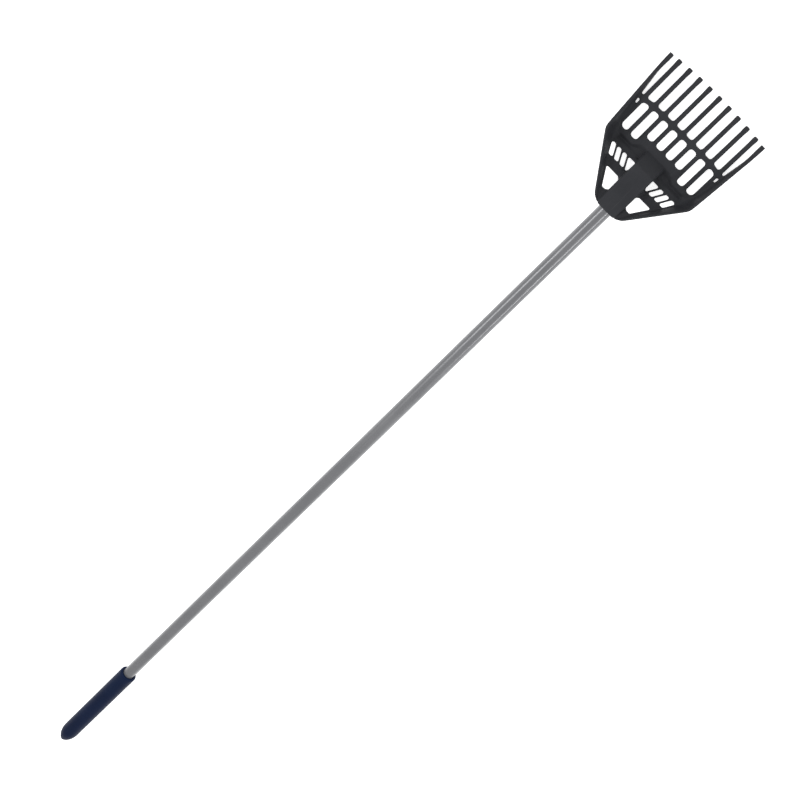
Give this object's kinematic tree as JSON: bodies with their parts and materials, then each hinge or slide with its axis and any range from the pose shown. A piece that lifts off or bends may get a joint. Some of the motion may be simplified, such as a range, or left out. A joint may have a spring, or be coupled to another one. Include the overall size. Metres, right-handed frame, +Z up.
{
  "type": "beach sand scoop",
  "caption": "Long-handled sand scoop: open sifting head with tines, slotted floor and raised sides on a tubular pole with a soft end grip.",
  "frame": {"origin": "on the ground, under the middle of the tool's length, midway across the head", "axes": "+X along the pole towards the tine tips, +Y to the left when looking towards the tips, +Z up, with the hollow side of the head up"},
  "size_m": [1.472, 0.1596, 0.03],
  "materials": {
    "head_plastic": "fine satin moulded",
    "pole_metal": "satin grey powder coat",
    "grip_vinyl": "soft dipped vinyl",
    "plug_plastic": "plain",
    "screw_steel": "zinc plated"
  },
  "bodies": {
    "root": {"crossbar": "head_plastic", "floor_pan": "head_plastic", "back_plate_left": "head_plastic", "back_plate_right": "head_plastic", "side_wall_left": "head_plastic", "side_wall_right": "head_plastic", "socket": "head_plastic", "tine_01": "head_plastic", "tine_02": "head_plastic", "tine_03": "head_plastic", "tine_04": "head_plastic", "tine_05": "head_plastic", "tine_06": "head_plastic", "tine_07": "head_plastic", "tine_08": "head_plastic", "tine_09": "head_plastic", "tine_10": "head_plastic", "tine_11": "head_plastic", "rib_01": "head_plastic", "rib_02": "head_plastic", "rib_03": "head_plastic", "rib_04": "head_plastic", "rib_05": "head_plastic", "rib_06": "head_plastic", "rib_07": "head_plastic", "rib_08": "head_plastic", "rib_09": "head_plastic", "pole": "pole_metal", "pole_plug": "plug_plastic", "grip": "grip_vinyl", "socket_screw": "screw_steel"}
  },
  "joints": []
}
